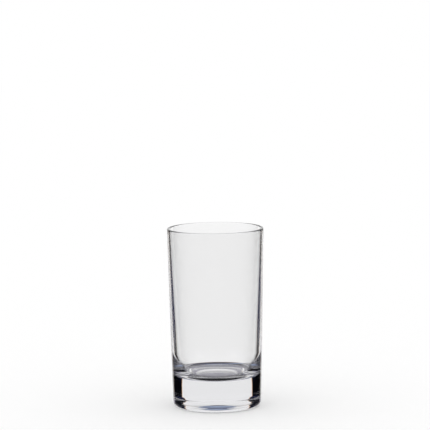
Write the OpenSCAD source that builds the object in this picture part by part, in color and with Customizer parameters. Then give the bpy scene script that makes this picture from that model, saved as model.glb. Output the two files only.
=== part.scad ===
// Straight-sided juice glass with a thick solid base, one piece of clear glass.
// The origin is at the centre of the ring that it stands on, with +Z up.
// The whole glass is one profile turned about Z. Four circles round the profile:
// the lip, the foot's outer corner, the heel inside and the slower curve that
// leads from the heel into the wall. The straight walls are the lines that touch
// two of these circles. Under the foot, a hollow with a rounded edge leaves a
// narrow ring to stand on, and its middle is dished.

/* [Height and widths] */
// Height from the table to the top of the lip
glass_h = 108; // [80:0.5:150]
// Outside diameter at the lip
rim_d = 58; // [48:0.5:76]
// Outside diameter at the top of the foot's rounded corner
foot_d = 53.3; // [44:0.1:70]

/* [Wall] */
// Thickness of the glass at the lip
lip_t = 1.5; // [0.8:0.1:3]
// Thickness of the wall where the heel inside begins
wall_t = 3; // [1.2:0.1:5]

/* [Base] */
// Thickness of the solid base, from the table to the floor inside
base_t = 18; // [8:0.2:34]
// Radius of the heel, where the floor inside turns up
heel_r = 7; // [1:0.5:14]
// Radius of the slower curve from the heel up into the wall
heel_upper_r = 30; // [15:1:45]
// Angle that the slower curve starts at, down from level
heel_turn = 25; // [12:1:35]
// Radius of the foot's outer corner
foot_corner_r = 3.2; // [0.4:0.2:7]

/* [Underside] */
// Width of the flat ring that the glass stands on
ring_w = 1.5; // [0.5:0.1:5]
// Depth of the hollow inside the ring, and radius of its rounded edge
hollow_depth = 1.6; // [0.4:0.1:3]
// Diameter of the dish in the middle of the hollow
dish_d = 30; // [6:0.5:34]
// Depth of the dish, past the hollow's flat part
dish_depth = 2.4; // [0.2:0.1:4]

/* [Hidden] */
$fn = 180;
// Facets of the large circle that the dish is part of
dish_facets = 1440;
// How far touching circles and straight edges reach past each other, so that
// rounding leaves no sliver between them
lap = 0.0002;

lip_r = lip_t / 2;
lip_c = [rim_d / 2 - lip_r, glass_h - lip_r];
foot_c = [foot_d / 2 - foot_corner_r, foot_corner_r];
hollow_edge_c = [foot_c[0] - ring_w - hollow_depth, 0];
dish_r = (pow(dish_d / 2, 2) + pow(dish_depth, 2)) / (2 * dish_depth);

// Unit vector at an angle in the profile's plane
function unit(angle) = [cos(angle), sin(angle)];

// Angle of the outward normal of the line that passes two circles. The line has
// the circle at low on its inner side, low_r away, and the circle at high on its
// inner side, high_r away. A negative high_r puts that circle on the outer side.
function normal_angle(low, low_r, high, high_r) =
    atan2(high[1] - low[1], high[0] - low[0]) - acos((low_r - high_r) / norm(high - low));

outside = unit(normal_angle(foot_c, foot_corner_r, lip_c, lip_r));
foot_touch = foot_c + (foot_corner_r - lap) * outside;
lip_touch_out = lip_c + lip_r * outside;

// Outside radius of the straight wall at a height
function outside_r(z) =
    foot_touch[0] + (z - foot_touch[1]) * (lip_touch_out[0] - foot_touch[0]) / (lip_touch_out[1] - foot_touch[1]);

upper_z = base_t + heel_r + (heel_upper_r - heel_r) * sin(heel_turn);
upper_c = [outside_r(upper_z) - wall_t - heel_upper_r, upper_z];
heel_c = upper_c + (heel_upper_r - heel_r) * unit(-heel_turn);
heel_joint_z = heel_c[1] - heel_r * sin(heel_turn);
upper_cut_r = heel_upper_r - lap;
inside = unit(normal_angle(upper_c, upper_cut_r, lip_c, -lip_r));
upper_touch = upper_c + (upper_cut_r - lap) * inside;
lip_touch_in = lip_c - lip_r * inside;

// A circle of the profile
module round_at(centre, radius) {
    translate(centre) circle(r = radius);
}

// Base and wall with straight edges only. The slices that the lip and the foot's
// corner fill are left open, from each circle's centre to the two points it
// touches. The heel is a step, which its two circles hollow out.
module straight_profile() {
    polygon([
        [0, 0],
        [foot_c[0], 0],
        foot_c,
        foot_touch,
        lip_touch_out,
        lip_c,
        lip_touch_in,
        upper_touch,
        [heel_c[0], upper_touch[1]],
        [heel_c[0], base_t],
        [0, base_t]
    ]);
}

// Slower curve of the heel, above the point where it meets the heel
module upper_heel_profile() {
    intersection() {
        round_at(upper_c, upper_cut_r);
        translate([0, heel_joint_z]) square([rim_d, glass_h]);
    }
}

// Hollow under the foot: flat, with a quarter circle round its edge
module hollow_profile() {
    translate([0, -hollow_depth]) square([hollow_edge_c[0], 2 * hollow_depth]);
    round_at(hollow_edge_c, hollow_depth);
}

// Cap of a large circle, above the flat part of the hollow
module dish_profile() {
    intersection() {
        translate([0, hollow_depth + dish_depth - dish_r]) circle(r = dish_r, $fn = dish_facets);
        translate([0, hollow_depth]) square([dish_d, dish_depth]);
    }
}

module glass_profile() {
    difference() {
        union() {
            straight_profile();
            round_at(foot_c, foot_corner_r);
            round_at(lip_c, lip_r);
        }
        round_at(heel_c, heel_r);
        upper_heel_profile();
        hollow_profile();
        dish_profile();
    }
}

module tumbler() {
    color([0.86, 0.9, 0.93, 0.45]) rotate_extrude() glass_profile();
}

tumbler();
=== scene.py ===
# A straight-sided juice glass of clear glass with a thick solid base, and the small
# studio that it is photographed in. Sizes are in metres and the frame is the CAD's.
import math

import bpy
import numpy as np
from mathutils import Matrix, Vector


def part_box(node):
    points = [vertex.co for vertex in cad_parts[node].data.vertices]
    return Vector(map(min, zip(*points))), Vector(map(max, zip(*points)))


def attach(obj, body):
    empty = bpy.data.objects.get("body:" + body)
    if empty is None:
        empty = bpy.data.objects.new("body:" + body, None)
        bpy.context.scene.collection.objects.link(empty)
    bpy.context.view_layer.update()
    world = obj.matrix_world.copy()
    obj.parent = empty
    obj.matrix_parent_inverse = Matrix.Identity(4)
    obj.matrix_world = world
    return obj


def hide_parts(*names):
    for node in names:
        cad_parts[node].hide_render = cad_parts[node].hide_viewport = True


bl_info = {
    "name": "Juice glass",
    "version": (1, 0, 0),
    "blender": (4, 5, 0),
    "location": "3D View > Sidebar > Juice glass",
    "description": "Builds a clear juice glass with a solid base, and the studio round it",
    "category": "Object",
}

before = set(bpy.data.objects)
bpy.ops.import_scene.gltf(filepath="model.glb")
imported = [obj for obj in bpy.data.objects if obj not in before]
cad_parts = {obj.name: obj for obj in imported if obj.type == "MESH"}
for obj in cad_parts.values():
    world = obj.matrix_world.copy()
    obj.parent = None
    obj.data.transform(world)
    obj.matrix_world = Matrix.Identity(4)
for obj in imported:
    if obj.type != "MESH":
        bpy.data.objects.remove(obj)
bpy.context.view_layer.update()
GLASS_TOP = float(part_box("tumbler")[1][2])

# Points of the profile that are closer than this are one point
SAME_POINT = 1e-6

# The camera as it was fitted to the glass's outline and rim in the photograph, which
# is this many pixels wide. Its focal length is in pixels too, and its angles are in degrees
PHOTO_SIDE = 430
FOCAL_PIXELS = 2352.0
CAMERA_PLACE = (0.0, -1.4, 0.2824)
CAMERA_PITCH = 6.791
CAMERA_ROLL = -0.70

# Half the floor's side, and the bounces that a ray through all the glass's faces may need
FLOOR_REACH = 3.0
GLASS_BOUNCES = 32

# The cards' and flags' places and colours, here and in StudioSizes, were fitted to the
# photograph: rays were traced through the glass to the sheet that each part of it shows.
# A pair is the start and the end of a ramp. Heights are above the table, and depths are
# behind the glass's axis. A negative depth is in front of it.

# Radius of the white card's two bends, and depth of the fold at its foot
CARD_BEND = 0.005
CARD_FOLD = 0.001
# Heights between which the white card narrows, and between which it dims
CARD_NARROWS = (-0.028, -0.002)
CARD_DIMS = (0.16, 0.4)
# Power of the warm edge's ramp from its own colour to white
FRINGE_POWER = 0.7

# Space between a flag and the white card, and how far flags lap over the sheets they meet
FLAG_GAP = 0.001
FLAG_LAP = 0.004
# Distances across between which the flags beside the card turn from blue grey to dark
COLD_ENDS = (0.24, 0.32)
# Heights between which their blue grey comes in from below, and from above
COLD_FROM_BELOW = (-0.026, -0.012)
COLD_FROM_ABOVE = (0.045, 0.03)
# Heights between which those flags turn to the upper level
BACK_BRIGHTENING = (0.1, 0.15)
# Heights between which the side flags and the front flag turn from dark to their colour
SIDE_COLORING = (0.06, 0.11)
FRONT_COLORING = (0.1, 0.2)
# Heights, from upper_start, between which they turn to the upper level
SIDE_BRIGHTENING = (0.0, 0.08)
FRONT_BRIGHTENING = (0.08, 0.2)
# Half the breadth of the ring where the table's pale middle turns dark
TABLE_FADE = 0.04

# Space between the white card's head and the soft light, and breadth of the light's dim edges
LIGHT_GAP = 0.002
LIGHT_FADE = 0.2

# How far the shade lies below the table, and the share of its size at its innermost points
SHADE_DROP = 0.001
SHADE_INNERMOST = 0.0005
# Depths between which the shade turns from dark to pale under the foot's middle, to the
# first share of that colour, and then between which it turns to the whole of it
SHADE_FRONT = (-0.006, 0.004)
SHADE_MIDDLE = (0.006, 0.018)
MIDDLE_SHARE = 0.7
# Depths between which it turns to the near shade, and to the far one
SHADE_NEAR = (0.019, 0.026)
SHADE_FAR = (0.034, 0.039)
# Distances from the middle of the streak of painted light between which it fades, and places
# across the shade between which its left end comes in
PAINTED_STREAK_FADES = (0.0015, 0.0028)
PAINTED_STREAK_STARTS = (-0.0085, -0.005)
# Shares of its size, and depths, between which the shade turns to its edge's colour
EDGE_SHARES = (0.93, 1.0)
EDGE_DEPTHS = (0.026, 0.03)


def length(name, description, default, low, high):
    """A size or a place in metres, as a property."""
    return bpy.props.FloatProperty(
        name=name, description=description, default=default, min=low, max=high,
        subtype="DISTANCE", unit="LENGTH")


def number(name, description, default, low, high):
    """A plain number, as a property."""
    return bpy.props.FloatProperty(
        name=name, description=description, default=default, min=low, max=high)


def color(name, description, default):
    """A colour of red, green and blue from 0 to 1, as a property."""
    return bpy.props.FloatVectorProperty(
        name=name, description=description, default=default, min=0.0, max=1.0,
        size=3, subtype="COLOR")


class TumblerSizes(bpy.types.PropertyGroup):
    """Sizes of the glass, the same as the CAD's"""

    height: length(
        "Height", "From the table to the top of the lip",
        GLASS_TOP, 0.08, 0.15)
    lip_width: length(
        "Width at the lip", "Outside diameter at the lip",
        0.058, 0.048, 0.076)
    foot_width: length(
        "Width at the foot", "Outside diameter at the top of the foot's rounded corner",
        0.0533, 0.044, 0.07)
    lip_thickness: length(
        "Lip thickness", "Thickness of the glass at the rounded lip",
        0.0015, 0.0008, 0.003)
    wall_thickness: length(
        "Wall thickness", "Thickness of the wall where the heel begins",
        0.003, 0.0012, 0.005)
    base_thickness: length(
        "Base thickness", "From the table to the floor inside",
        0.018, 0.008, 0.034)
    heel_radius: length(
        "Heel radius", "Rounding between the floor and the heel's upper curve",
        0.007, 0.001, 0.014)
    heel_upper_radius: length(
        "Upper heel radius", "Slower rounding between the heel and the wall inside",
        0.03, 0.015, 0.045)
    heel_turn: bpy.props.FloatProperty(
        name="Upper heel start", description="Angle that the upper curve starts at, down from level",
        default=math.radians(25.0), min=math.radians(12.0), max=math.radians(35.0),
        subtype="ANGLE", unit="ROTATION")
    corner_radius: length(
        "Foot corner radius", "Rounding of the foot's outer corner",
        0.0032, 0.0004, 0.007)
    ring_width: length(
        "Rest ring width", "Width of the flat ring that the glass stands on",
        0.0015, 0.0005, 0.005)
    hollow_depth: length(
        "Hollow depth", "Depth of the hollow inside the ring, and radius of its rounded edge",
        0.0016, 0.0004, 0.003)
    dish_width: length(
        "Dish width", "Diameter of the dish in the middle of the hollow",
        0.03, 0.006, 0.034)
    dish_depth: length(
        "Dish depth", "Depth of the dish, past the hollow's flat part",
        0.0024, 0.0002, 0.004)
    sides: bpy.props.IntProperty(
        name="Segments", description="Segments round the glass", default=320, min=48, max=360)


class GlassFinish(bpy.types.PropertyGroup):
    """Finish of the clear glass"""

    refraction: number(
        "Refractive index", "Refractive index of soda-lime glass",
        1.52, 1.3, 1.9)
    body_tint: color(
        "Body tint", "Colour of the light that the glass absorbs least",
        (0.0, 0.0, 0.11))
    body_density: number(
        "Body density", "How fast light fades inside the glass, per metre",
        3.0, 0.0, 50.0)
    wear_height: length(
        "Wear height", "Height to which the foot's ring is worn",
        0.00025, 0.0, 0.002)
    wear_roughness: number(
        "Wear roughness", "Roughness of the deepest scuffs on the worn ring",
        0.35, 0.0, 1.0)
    scuff_scale: number(
        "Scuff scale", "Scale of the scuffs on the worn ring, per metre",
        900.0, 10.0, 5000.0)


class StudioSizes(bpy.types.PropertyGroup):
    """Sizes, levels and colours of the cards and flags round the glass, where 1 is white"""

    window_half_width: length(
        "Window half width", "Half the width of the white card behind the glass, at its foot",
        0.15, 0.02, 0.6)
    window_narrowing: length(
        "Window narrowing", "How much narrower each side of the white card is above the table's level",
        0.028, 0.0, 0.1)
    window_distance: length(
        "Window distance", "From the glass's axis back to the white card",
        0.2, 0.05, 0.6)
    window_low: length(
        "Window foot", "Height of the white card's lower edge",
        -0.22, -0.4, 0.05)
    window_high: length(
        "Window head", "Height at which the white card lies over the glass",
        0.46, 0.12, 0.9)
    window_reach: length(
        "Window reach", "Depth of the white card's edge over the glass, below 0 in front of the axis",
        -0.07, -0.3, 0.1)
    window_top_level: number(
        "Window top level", "Level of the white card's highest part, and of its part over the glass",
        0.4, 0.0, 2.0)
    overhead_level: number(
        "Overhead level", "Level of the soft light over the glass",
        0.6, 0.0, 5.0)
    tent_half_width: length(
        "Flag distance", "From the glass's axis to the dark flags at its sides and front",
        0.44, 0.08, 0.9)
    flag_color: color(
        "Flag colour", "Colour of the flags' dark parts, and of the shade's front",
        (0.002, 0.002, 0.003))
    cold_color: color(
        "Cold colour", "Dark blue grey, near the table's level, of the flags beside the white card",
        (0.012, 0.016, 0.052))
    side_color: color(
        "Side colour", "Colour of the side flags above their dark part",
        (0.25, 0.24, 0.36))
    front_color: color(
        "Front colour", "Colour of the front flag above its dark part, and of the soft light's edges",
        (0.17, 0.17, 0.23))
    upper_level: number(
        "Upper level", "Level of the highest part of the upright flags",
        0.75, 0.0, 2.0)
    upper_start: length(
        "Upper start", "Height above which the side flags brighten to that level",
        0.12, 0.0, 0.4)
    table_color: color(
        "Table colour", "Colour of the table's pale middle as the glass shows it",
        (0.7, 0.7, 0.72))
    table_radius: length(
        "Table radius", "Radius of the table's pale middle",
        0.13, 0.05, 0.4)
    table_middle: length(
        "Table middle", "From the glass's axis back to the middle of the table's pale part",
        0.1, -0.2, 0.2)
    fringe_color: color(
        "Fringe colour", "Colour of the warm edge at the white card's sides",
        (1.0, 0.5, 0.2))
    fringe_width: length(
        "Fringe width", "Width of the warm edge at the white card's sides",
        0.008, 0.0005, 0.05)
    shade_half_width: length(
        "Shade half width", "Half the width of the shade, and its reach in front of the axis",
        0.0225, 0.005, 0.1)
    shade_length: length(
        "Shade length", "How far the shade reaches behind the glass's axis",
        0.05, 0.02, 0.2)
    foot_color: color(
        "Foot colour", "Colour of the shade under the middle of the foot",
        (0.32, 0.31, 0.37))
    near_shade_color: color(
        "Near shade colour", "Colour of the shade under the glass's back edge and just behind it",
        (0.1, 0.1, 0.155))
    shade_color: color(
        "Far shade colour", "Colour of the shade farther behind the glass",
        (0.04, 0.037, 0.055))
    edge_color: color(
        "Shade edge colour", "Colour that the shade behind the glass fades to at its edge",
        (0.62, 0.53, 0.48))
    # A narrow pale streak of painted light across the painted shade: its colour, and its depth behind the
    # axis
    painted_light_streak_color: color(
        "Streak colour", "Colour of the narrow pale streak across the shade",
        (0.42, 0.5, 0.68))
    painted_light_streak_depth: length(
        "Streak distance", "From the glass's axis back to the streak's middle",
        0.0308, 0.02, 0.1)
    floor_color: color(
        "Floor colour", "Colour of the pale floor",
        (1.0, 1.0, 1.0))
    light_level: number(
        "Light level", "Level of the soft light all round, at which a colour shows as written",
        1.0, 0.0, 2.0)


def arc(centre, radius, start, end, count):
    """Points of a circle in the profile's plane: its centre plus the radius times the cosine and sine
    of an angle, in radians, that goes evenly from start to end."""
    angle = np.linspace(start, end, count)
    return np.stack([centre[0] + radius * np.cos(angle), centre[1] + radius * np.sin(angle)], axis=1)


def line(start, end, count):
    """Points of a straight line, spaced evenly from start to end."""
    share = np.linspace(0.0, 1.0, count)[:, None]
    return np.asarray(start) * (1 - share) + np.asarray(end) * share


def normal_angle(low, low_radius, high, high_radius):
    """Angle of the outward normal of the line that touches two circles: the direction from the low
    circle's centre to the high one's, less the angle whose cosine is the difference of the radii over
    the distance between the centres. A negative high_radius puts that circle on the line's outer side."""
    step = np.asarray(high) - np.asarray(low)
    return math.atan2(step[1], step[0]) - math.acos((low_radius - high_radius) / math.hypot(*step))


def glass_profile(sizes):
    """The glass's half section from the axis under the foot, round the outside and the lip, and down
    the inside to the axis again, as radius and height. It is a chain of circles and of the straight
    lines that touch them: dish, hollow, rest ring, foot corner, wall, lip, wall, heel and floor."""
    lip_radius, corner = sizes.lip_thickness / 2, sizes.corner_radius
    lip_centre = np.array([sizes.lip_width / 2 - lip_radius, sizes.height - lip_radius])
    foot_centre = np.array([sizes.foot_width / 2 - corner, corner])
    hollow, floor = sizes.hollow_depth, sizes.base_thickness
    edge_centre = np.array([foot_centre[0] - sizes.ring_width - hollow, 0.0])

    # The dish is a cap of the circle through its edge and its deepest point
    half_dish = sizes.dish_width / 2
    dish_radius = (half_dish ** 2 + sizes.dish_depth ** 2) / (2 * sizes.dish_depth)
    dish_centre = (0.0, hollow + sizes.dish_depth - dish_radius)
    dish_end = math.acos(half_dish / dish_radius)

    # The outer wall touches the foot's corner and the lip
    outward = normal_angle(foot_centre, corner, lip_centre, lip_radius)
    outer_normal = np.array([math.cos(outward), math.sin(outward)])
    foot_touch = foot_centre + corner * outer_normal
    lip_touch = lip_centre + lip_radius * outer_normal

    # The heel touches the floor, and the upper curve at the angle heel_turn. The upper curve's
    # centre is its radius and the wall's thickness inside the outer wall at its own height
    heel, upper = sizes.heel_radius, sizes.heel_upper_radius
    turn = np.array([math.cos(sizes.heel_turn), -math.sin(sizes.heel_turn)])
    upper_height = floor + heel - (upper - heel) * turn[1]
    share = (upper_height - foot_touch[1]) / (lip_touch[1] - foot_touch[1])
    outside = foot_touch[0] + share * (lip_touch[0] - foot_touch[0])
    upper_centre = np.array([outside - sizes.wall_thickness - upper, upper_height])
    heel_centre = upper_centre + (upper - heel) * turn

    # The inner wall touches the upper curve and the lip
    inward = normal_angle(upper_centre, upper, lip_centre, -lip_radius)
    inner_normal = np.array([math.cos(inward), math.sin(inward)])

    points = np.concatenate([
        arc(dish_centre, dish_radius, math.pi / 2, dish_end, 22),
        line((half_dish, hollow), (edge_centre[0], hollow), 8),
        arc(edge_centre, hollow, math.pi / 2, 0.0, 22),
        line((edge_centre[0] + hollow, 0.0), (foot_centre[0], 0.0), 6),
        arc(foot_centre, corner, -math.pi / 2, outward, 34),
        line(foot_touch, lip_touch, 44),
        arc(lip_centre, lip_radius, outward, inward + math.pi, 28),
        line(lip_centre - lip_radius * inner_normal, upper_centre + upper * inner_normal, 44),
        arc(upper_centre, upper, inward, -sizes.heel_turn, 30),
        arc(heel_centre, heel, -sizes.heel_turn, -math.pi / 2, 40),
        line((heel_centre[0], floor), (0.0, floor), 12),
    ])
    keep = np.append(True, np.hypot(*np.diff(points, axis=0).T) > SAME_POINT)
    points = points[keep]
    points[[0, -1], 0] = 0.0
    return points


def turned(profile, sides):
    """A closed surface of revolution: each profile point but the two on the axis becomes a ring of
    sides points at the cosine and sine of even angles, and each end of the profile is one point."""
    angle = np.arange(sides) * (2 * math.pi / sides)
    ring = profile[1:-1]
    grid = np.empty((len(ring), sides, 3))
    grid[..., 0] = ring[:, :1] * np.cos(angle)
    grid[..., 1] = ring[:, :1] * np.sin(angle)
    grid[..., 2] = ring[:, 1:]
    ends = np.array([[0, 0, profile[0, 1]], [0, 0, profile[-1, 1]]])
    row = np.arange(len(ring) - 1)[:, None] * sides
    here, after = np.arange(sides), (np.arange(sides) + 1) % sides
    quads = np.stack([row + here, row + after, row + sides + after, row + sides + here], axis=-1)
    low, last = len(ring) * sides, (len(ring) - 1) * sides
    under = np.stack([np.full(sides, low), after, here], axis=-1)
    over = np.stack([np.full(sides, low + 1), last + here, last + after], axis=-1)
    faces = [quads.reshape(-1, 4), under, over]
    return np.concatenate([grid.reshape(-1, 3), ends]), faces


def mesh_from(name, points, faces, smooth=True):
    """A mesh from an array of points and a list of index arrays, one for each number of corners."""
    mesh = bpy.data.meshes.new(name)
    loops = np.concatenate([block.reshape(-1) for block in faces])
    corners = np.concatenate([np.full(len(block), block.shape[1]) for block in faces])
    mesh.vertices.add(len(points))
    mesh.vertices.foreach_set("co", points.astype(np.float32).reshape(-1))
    mesh.loops.add(len(loops))
    mesh.loops.foreach_set("vertex_index", loops.astype(np.int32))
    mesh.polygons.add(len(corners))
    mesh.polygons.foreach_set("loop_start", (np.cumsum(corners) - corners).astype(np.int32))
    mesh.polygons.foreach_set("use_smooth", np.full(len(corners), smooth))
    mesh.update(calc_edges=True)
    if mesh.validate():
        raise ValueError(f"the mesh {name} has faults")
    return mesh


def placed(name, mesh, material):
    """A new object with this mesh and material, at the origin, in the scene's own collection."""
    made = bpy.data.objects.new(name, mesh)
    mesh.materials.append(material)
    bpy.context.scene.collection.objects.link(made)
    return made


def clear_glass(finish):
    """Clear glass that fades light a little in its depth. It is smooth but for its ring, which is worn
    dull where it rubs on the table: there the roughness is a share that falls smoothly from 1 at the
    table to 0 at the wear height, times fine noise, times the wear roughness."""
    material = bpy.data.materials.new("clear glass")
    material.use_nodes = True
    tree = material.node_tree
    node, link = tree.nodes.new, tree.links.new
    shader = tree.nodes["Principled BSDF"]
    shader.inputs["Base Color"].default_value = (1, 1, 1, 1)
    shader.inputs["Metallic"].default_value = 0.0
    shader.inputs["Transmission Weight"].default_value = 1.0
    shader.inputs["IOR"].default_value = finish.refraction
    place = node("ShaderNodeTexCoord")
    split = node("ShaderNodeSeparateXYZ")
    link(place.outputs["Object"], split.inputs[0])
    worn = node("ShaderNodeMapRange")
    worn.interpolation_type = "SMOOTHSTEP"
    worn.inputs["From Min"].default_value = finish.wear_height
    worn.inputs["From Max"].default_value = 0.0
    worn.inputs["To Min"].default_value = 0.0
    worn.inputs["To Max"].default_value = 1.0
    link(split.outputs["Z"], worn.inputs["Value"])
    scuffs = node("ShaderNodeTexNoise")
    scuffs.inputs["Scale"].default_value = finish.scuff_scale
    scuffs.inputs["Detail"].default_value = 4.0
    link(place.outputs["Object"], scuffs.inputs["Vector"])
    dull = node("ShaderNodeMath")
    dull.operation = "MULTIPLY"
    link(worn.outputs["Result"], dull.inputs[0])
    link(scuffs.outputs["Fac"], dull.inputs[1])
    rough = node("ShaderNodeMapRange")
    rough.inputs["To Min"].default_value = 0.0
    rough.inputs["To Max"].default_value = finish.wear_roughness
    link(dull.outputs[0], rough.inputs["Value"])
    link(rough.outputs["Result"], shader.inputs["Roughness"])
    fade = node("ShaderNodeVolumeAbsorption")
    fade.inputs["Color"].default_value = (*finish.body_tint, 1)
    fade.inputs["Density"].default_value = finish.body_density
    link(fade.outputs[0], tree.nodes["Material Output"].inputs["Volume"])
    return material


class OBJECT_OT_juice_glass_tumbler(bpy.types.Operator):
    """Builds the glass: one closed solid turned about the Z axis, in clear glass"""

    bl_idname = "object.juice_glass_tumbler"
    bl_label = "Tumbler"

    def execute(self, context):
        sizes = context.scene.juice_glass_sizes
        points, faces = turned(glass_profile(sizes), sizes.sides)
        mesh = mesh_from("glass_tumbler", points, faces)
        glass = placed("glass_tumbler", mesh, clear_glass(context.scene.juice_glass_finish))
        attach(glass, "root")
        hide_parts("tumbler")
        return {"FINISHED"}


def lit_card():
    """Material of every card and flag: it gives off the colour that its mesh holds in the attribute
    named light, and light that has met the floor passes it, so it lights and shades nothing else."""
    material = bpy.data.materials.get("lit card")
    if material:
        return material
    material = bpy.data.materials.new("lit card")
    material.use_nodes = True
    material.cycles.emission_sampling = "NONE"
    tree = material.node_tree
    tree.nodes.clear()
    node, link = tree.nodes.new, tree.links.new
    level = node("ShaderNodeAttribute")
    level.attribute_name = "light"
    glow = node("ShaderNodeEmission")
    link(level.outputs["Color"], glow.inputs["Color"])
    path = node("ShaderNodeLightPath")
    passed = node("ShaderNodeMath")
    passed.operation = "GREATER_THAN"
    passed.inputs[1].default_value = 0.5
    link(path.outputs["Diffuse Depth"], passed.inputs[0])
    through = node("ShaderNodeBsdfTransparent")
    mix = node("ShaderNodeMixShader")
    link(passed.outputs[0], mix.inputs["Fac"])
    link(glow.outputs[0], mix.inputs[1])
    link(through.outputs[0], mix.inputs[2])
    link(mix.outputs[0], node("ShaderNodeOutputMaterial").inputs["Surface"])
    return material


def card(name, grid, light, parent):
    """A sheet through a grid of points, one quad to each cell, with a light colour at each point. Only
    rays that the glass bends or reflects see it, as a flag that stands just outside the picture is
    seen."""
    rows, columns = grid.shape[:2]
    row = np.arange(rows - 1)[:, None] * columns
    column = np.arange(columns - 1)[None]
    first = row + column
    quads = np.stack([first, first + 1, first + columns + 1, first + columns], axis=-1)
    mesh = mesh_from(name, grid.reshape(-1, 3), [quads.reshape(-1, 4)], smooth=False)
    colors = np.ones((rows * columns, 4), dtype=np.float32)
    colors[:, :3] = np.broadcast_to(light, grid.shape).reshape(-1, 3)
    mesh.attributes.new("light", "FLOAT_COLOR", "POINT").data.foreach_set("color", colors.reshape(-1))
    made = placed(name, mesh, lit_card())
    made.parent = parent
    made.visible_camera = made.visible_diffuse = made.visible_shadow = False


def flat_grid(first, second, firsts, seconds, fixed, value):
    """A flat grid of points: the axis numbered first runs over firsts along each row, the one numbered
    second runs over seconds from row to row, and the one numbered fixed is held at value."""
    grid = np.empty((len(seconds), len(firsts), 3))
    grid[..., first] = np.asarray(firsts)[None]
    grid[..., second] = np.asarray(seconds)[:, None]
    grid[..., fixed] = value
    return grid


def ramp(value, start, end):
    """A share that goes evenly from 0 at start to 1 at end, which may be the lower one."""
    return np.clip((value - start) / (end - start), 0.0, 1.0)


def blend(first, second, share):
    """The colour first where share is 0, and second where it is 1."""
    return np.asarray(first) + (np.asarray(second) - np.asarray(first)) * share


def window_card(sizes, parent):
    """The white card. Its section goes up behind the glass from a small fold, bends, and lies level
    over the glass, and each of its points is drawn out to both sides by the half width at its height,
    which is less above the table's level. It has a warm edge at both sides and is dimmer higher up."""
    half, back = sizes.window_half_width, sizes.window_distance
    low, high = sizes.window_low, sizes.window_high
    middle = back - CARD_BEND
    up = arc((middle, low + CARD_BEND), CARD_BEND, -math.pi / 2, 0.0, 7)
    over = arc((middle, high - CARD_BEND), CARD_BEND, 0.0, math.pi / 2, 7)
    fold = [(back - CARD_FOLD - CARD_BEND, low)]
    upright = line(up[-1], over[0], 90)[1:-1]
    section = np.concatenate([fold, up, upright, over, [(sizes.window_reach, high)]])
    fringe = sizes.fringe_width / half
    edge = 1.0 - fringe * np.linspace(0.0, 1.0, 9)
    across = np.concatenate([-edge, np.linspace(-edge[-1], edge[-1], 31)[1:-1], edge[::-1]])
    width = half - sizes.window_narrowing * ramp(section[:, 1:], *CARD_NARROWS)
    grid = np.empty((len(section), len(across), 3))
    grid[..., 0] = across * width
    grid[..., 1] = section[:, :1]
    grid[..., 2] = section[:, 1:]
    inner = ramp(1.0 - np.abs(across)[:, None], 0.0, fringe)
    light = blend(sizes.fringe_color, (1.0, 1.0, 1.0), inner ** FRINGE_POWER)
    light = light * blend(1.0, sizes.window_top_level, ramp(grid[..., 2:], *CARD_DIMS))
    card("window_card", grid, light, parent)


def flag_heights(sizes):
    """Even heights of an upright flag's points, from below the white card's foot to above its head."""
    return np.linspace(sizes.window_low - FLAG_LAP, sizes.window_high + FLAG_LAP, 100)


def flag_depths(sizes):
    """Depths between which the side flags and the one under the glass reach."""
    return -sizes.tent_half_width - FLAG_LAP, sizes.window_distance + FLAG_GAP + FLAG_LAP


def back_flag(name, side, sizes, parent):
    """The flag beside the white card on one side, whose sign is given. It is dark, and blue grey by the
    product of three ramps near the card and near the table's level, and turns pale higher up."""
    inner = sizes.window_half_width - sizes.window_narrowing - FLAG_LAP
    outer = sizes.tent_half_width + FLAG_LAP
    places = side * np.concatenate([np.linspace(inner, COLD_ENDS[1], 9), [outer]])[::side]
    grid = flat_grid(0, 2, places, flag_heights(sizes), 1, sizes.window_distance + FLAG_GAP)
    height = grid[..., 2:]
    near = 1.0 - ramp(np.abs(grid[..., :1]), *COLD_ENDS)
    cold = near * ramp(height, *COLD_FROM_BELOW) * ramp(height, *COLD_FROM_ABOVE)
    light = blend(sizes.flag_color, sizes.cold_color, cold)
    light = blend(light, sizes.upper_level, ramp(height, *BACK_BRIGHTENING))
    card(name, grid, light, parent)


def upright_light(grid, sizes, own_color, coloring, brightening):
    """Light of a side or front flag, by two ramps of the height: from dark to its own colour between
    the heights in coloring, and on to the upper level between those in brightening, which count from
    upper_start."""
    height = grid[..., 2:]
    light = blend(sizes.flag_color, own_color, ramp(height, *coloring))
    start, end = sizes.upper_start + brightening[0], sizes.upper_start + brightening[1]
    return blend(light, sizes.upper_level, ramp(height, start, end))


def side_flag(name, side, sizes, parent):
    """The flag at one side of the glass, whose sign is given, dark at the foot and paler higher up."""
    place = side * sizes.tent_half_width
    grid = flat_grid(1, 2, flag_depths(sizes), flag_heights(sizes), 0, place)
    light = upright_light(grid, sizes, sizes.side_color, SIDE_COLORING, SIDE_BRIGHTENING)
    card(name, grid, light, parent)


def front_flag(sizes, parent):
    """The flag between the glass and the camera, which doesn't see it, dark at the foot and paler
    higher up."""
    reach = sizes.tent_half_width + FLAG_LAP
    grid = flat_grid(0, 2, (-reach, reach), flag_heights(sizes), 1, -sizes.tent_half_width)
    light = upright_light(grid, sizes, sizes.front_color, FRONT_COLORING, FRONT_BRIGHTENING)
    card("flag_front", grid, light, parent)


def under_flag(sizes, parent):
    """The sheet under the glass, which stands for the table farther off: dark, with a pale round
    middle behind the axis. Its light is a ramp of the distance from that middle."""
    reach = sizes.tent_half_width + FLAG_LAP
    places, depths = np.linspace(-reach, reach, 61), np.linspace(*flag_depths(sizes), 45)
    grid = flat_grid(0, 1, places, depths, 2, sizes.window_low - FLAG_GAP)
    from_middle = np.hypot(grid[..., :1], grid[..., 1:2] - sizes.table_middle)
    start, end = sizes.table_radius - TABLE_FADE, sizes.table_radius + TABLE_FADE
    pale = 1.0 - ramp(from_middle, start, end)
    card("flag_under", grid, blend(sizes.flag_color, sizes.table_color, pale), parent)


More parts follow.
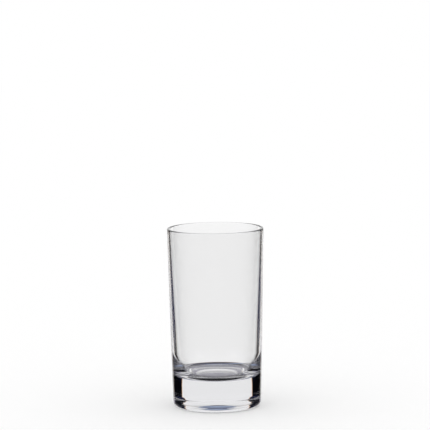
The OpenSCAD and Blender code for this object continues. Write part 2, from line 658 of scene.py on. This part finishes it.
def overhead_light(sizes, parent):
    """The soft light over the glass: a level sheet just above the white card's head. Its level falls
    by a ramp towards its front edge and, by another, towards both sides."""
    wide, back = sizes.tent_half_width, sizes.window_distance + FLAG_GAP
    places, depths = np.linspace(-wide, wide, 41), np.linspace(-wide, back, 41)
    grid = flat_grid(0, 1, places, depths, 2, sizes.window_high + LIGHT_GAP)
    inner = ramp(wide - np.abs(grid[..., :1]), 0.0, LIGHT_FADE)
    inner = inner * ramp(grid[..., 1:2] + wide, 0.0, LIGHT_FADE)
    card("overhead_light", grid, blend(sizes.front_color, sizes.overhead_level, inner), parent)


def foot_shade(sizes, parent):
    """Painted shade of the table under and behind the glass: a sheet just below the rest ring, round in
    front and drawn out behind the glass. Its points are a share times the cosine of an angle times the
    half width, and that share times the angle's sine times the reach on its side. It is painted dark in
    front of the axis, pale under the foot's middle and dark again behind the foot, with a pale streak of
    painted light across, and fades at its edge."""
    turn = np.linspace(0.0, 2 * math.pi, 145)
    share = np.linspace(SHADE_INNERMOST, 1.0, 120)[:, None]
    reach = np.where(np.sin(turn) > 0.0, sizes.shade_length, sizes.shade_half_width)
    grid = np.empty((len(share), len(turn), 3))
    grid[..., 0] = share * np.cos(turn) * sizes.shade_half_width
    grid[..., 1] = share * np.sin(turn) * reach
    grid[..., 2] = -SHADE_DROP
    place, depth = grid[..., :1], grid[..., 1:2]
    middle = ramp(depth, *SHADE_FRONT) * blend(MIDDLE_SHARE, 1.0, ramp(depth, *SHADE_MIDDLE))
    light = blend(sizes.flag_color, sizes.foot_color, middle)
    light = blend(light, sizes.near_shade_color, ramp(depth, *SHADE_NEAR))
    light = blend(light, sizes.shade_color, ramp(depth, *SHADE_FAR))
    # Painted light: a narrow pale streak across the painted shade
    streak = 1.0 - ramp(np.abs(depth - sizes.painted_light_streak_depth), *PAINTED_STREAK_FADES)
    light = blend(light, sizes.painted_light_streak_color, streak * ramp(place, *PAINTED_STREAK_STARTS))
    outer = ramp(share, *EDGE_SHARES)[..., None] * ramp(depth, *EDGE_DEPTHS)
    card("foot_shade", grid, blend(light, sizes.edge_color, outer), parent)


def studio_floor(sizes):
    """The pale floor that the glass stands on, with its soft shadow: a level square, which rays inside
    the glass and reflections pass."""
    ends = (-FLOOR_REACH, FLOOR_REACH)
    grid = flat_grid(0, 1, ends, ends, 2, 0.0)
    mesh = mesh_from("floor", grid.reshape(-1, 3), [np.array([[0, 1, 3, 2]])], smooth=False)
    material = bpy.data.materials.new("pale floor")
    material.use_nodes = True
    shader = material.node_tree.nodes["Principled BSDF"]
    shader.inputs["Base Color"].default_value = (*sizes.floor_color, 1)
    shader.inputs["Roughness"].default_value = 1.0
    shader.inputs["Specular IOR Level"].default_value = 0.0
    floor = placed("floor", mesh, material)
    floor.visible_transmission = floor.visible_glossy = False


def studio_world(sizes):
    """Soft light from all round at a plain level. To the camera, and to what the glass bends and
    reflects, the world is white."""
    world = bpy.data.worlds.new("studio")
    bpy.context.scene.world = world
    world.use_nodes = True
    tree = world.node_tree
    tree.nodes.clear()
    node, link = tree.nodes.new, tree.links.new
    path = node("ShaderNodeLightPath")
    seen = node("ShaderNodeMath")
    seen.operation = "MAXIMUM"
    link(path.outputs["Is Camera Ray"], seen.inputs[0])
    link(path.outputs["Is Glossy Ray"], seen.inputs[1])
    shown = node("ShaderNodeMath")
    shown.operation = "MAXIMUM"
    link(seen.outputs[0], shown.inputs[0])
    link(path.outputs["Is Transmission Ray"], shown.inputs[1])
    soft = node("ShaderNodeBackground")
    soft.inputs["Color"].default_value = (1, 1, 1, 1)
    soft.inputs["Strength"].default_value = sizes.light_level
    white = node("ShaderNodeBackground")
    white.inputs["Color"].default_value = (1, 1, 1, 1)
    white.inputs["Strength"].default_value = 1.0
    mix = node("ShaderNodeMixShader")
    link(shown.outputs[0], mix.inputs["Fac"])
    link(soft.outputs[0], mix.inputs[1])
    link(white.outputs[0], mix.inputs[2])
    link(mix.outputs[0], node("ShaderNodeOutputWorld").inputs["Surface"])


def studio_camera():
    """The camera where the photograph was taken from: in front of the glass and a little above it,
    pitched down and rolled by under one degree. Its lens in millimetres is the focal length in pixels
    times the sensor's width over the photograph's."""
    data = bpy.data.cameras.new("camera")
    data.sensor_width = 36.0
    data.lens = FOCAL_PIXELS / PHOTO_SIDE * data.sensor_width
    data.clip_start, data.clip_end = 0.01, 100.0
    camera = bpy.data.objects.new("camera", data)
    bpy.context.scene.collection.objects.link(camera)
    pitch, roll = math.radians(CAMERA_PITCH), math.radians(CAMERA_ROLL)
    turn = Matrix.Rotation(math.pi / 2 - pitch, 4, "X") @ Matrix.Rotation(roll, 4, "Z")
    camera.matrix_world = Matrix.Translation(Vector(CAMERA_PLACE)) @ turn
    bpy.context.scene.camera = camera
    return camera


def card_stand(camera):
    """The empty that carries the cards and flags. It turns about Z until its front faces the camera, as
    though the glass stood on a turntable in a studio that stays where it is, so every side view of the
    glass is lit alike. The floor, the world and the glass don't turn."""
    stand = bpy.data.objects.new("card_stand", None)
    bpy.context.scene.collection.objects.link(stand)
    stand.empty_display_size = 0.05
    aim = stand.constraints.new("LOCKED_TRACK")
    aim.target = camera
    aim.track_axis = "TRACK_NEGATIVE_Y"
    aim.lock_axis = "LOCK_Z"
    return stand


class OBJECT_OT_juice_glass_studio(bpy.types.Operator):
    """Builds the floor, the soft light, the camera, and the cards and flags that turn to face it"""

    bl_idname = "object.juice_glass_studio"
    bl_label = "Studio"

    def execute(self, context):
        sizes = context.scene.juice_glass_studio
        camera = studio_camera()
        studio_world(sizes)
        studio_floor(sizes)
        stand = card_stand(camera)
        window_card(sizes, stand)
        for name, side in (("left", -1), ("right", 1)):
            back_flag(f"flag_back_{name}", side, sizes, stand)
            side_flag(f"flag_side_{name}", side, sizes, stand)
        front_flag(sizes, stand)
        under_flag(sizes, stand)
        overhead_light(sizes, stand)
        foot_shade(sizes, stand)
        context.scene.view_settings.view_transform = "Standard"
        cycles = context.scene.cycles
        cycles.max_bounces = cycles.transmission_bounces = cycles.glossy_bounces = GLASS_BOUNCES
        return {"FINISHED"}


class VIEW3D_PT_juice_glass(bpy.types.Panel):
    """Lists the glass's and the studio's sizes, with a button that builds each"""

    bl_idname = "VIEW3D_PT_juice_glass"
    bl_label = "Juice glass"
    bl_space_type = "VIEW_3D"
    bl_region_type = "UI"
    bl_category = "Juice glass"

    def draw(self, context):
        scene = context.scene
        for title, values, operator in (
            ("Glass", (scene.juice_glass_sizes, scene.juice_glass_finish), OBJECT_OT_juice_glass_tumbler),
            ("Studio", (scene.juice_glass_studio,), OBJECT_OT_juice_glass_studio),
        ):
            box = self.layout.box()
            box.label(text=title)
            for group in values:
                for name in group.__annotations__:
                    box.prop(group, name)
            box.operator(operator.bl_idname)


CLASSES = (
    TumblerSizes,
    GlassFinish,
    StudioSizes,
    OBJECT_OT_juice_glass_tumbler,
    OBJECT_OT_juice_glass_studio,
    VIEW3D_PT_juice_glass,
)


def register():
    """Registers the classes and puts the three groups of values on the scene."""
    for cls in CLASSES:
        bpy.utils.register_class(cls)
    bpy.types.Scene.juice_glass_sizes = bpy.props.PointerProperty(type=TumblerSizes)
    bpy.types.Scene.juice_glass_finish = bpy.props.PointerProperty(type=GlassFinish)
    bpy.types.Scene.juice_glass_studio = bpy.props.PointerProperty(type=StudioSizes)


def unregister():
    """Takes away what register adds."""
    del bpy.types.Scene.juice_glass_sizes
    del bpy.types.Scene.juice_glass_finish
    del bpy.types.Scene.juice_glass_studio
    for cls in reversed(CLASSES):
        bpy.utils.unregister_class(cls)


def main():
    """Builds everything in order."""
    register()
    bpy.ops.object.juice_glass_studio()
    bpy.ops.object.juice_glass_tumbler()


if __name__ == "__main__":
    main()
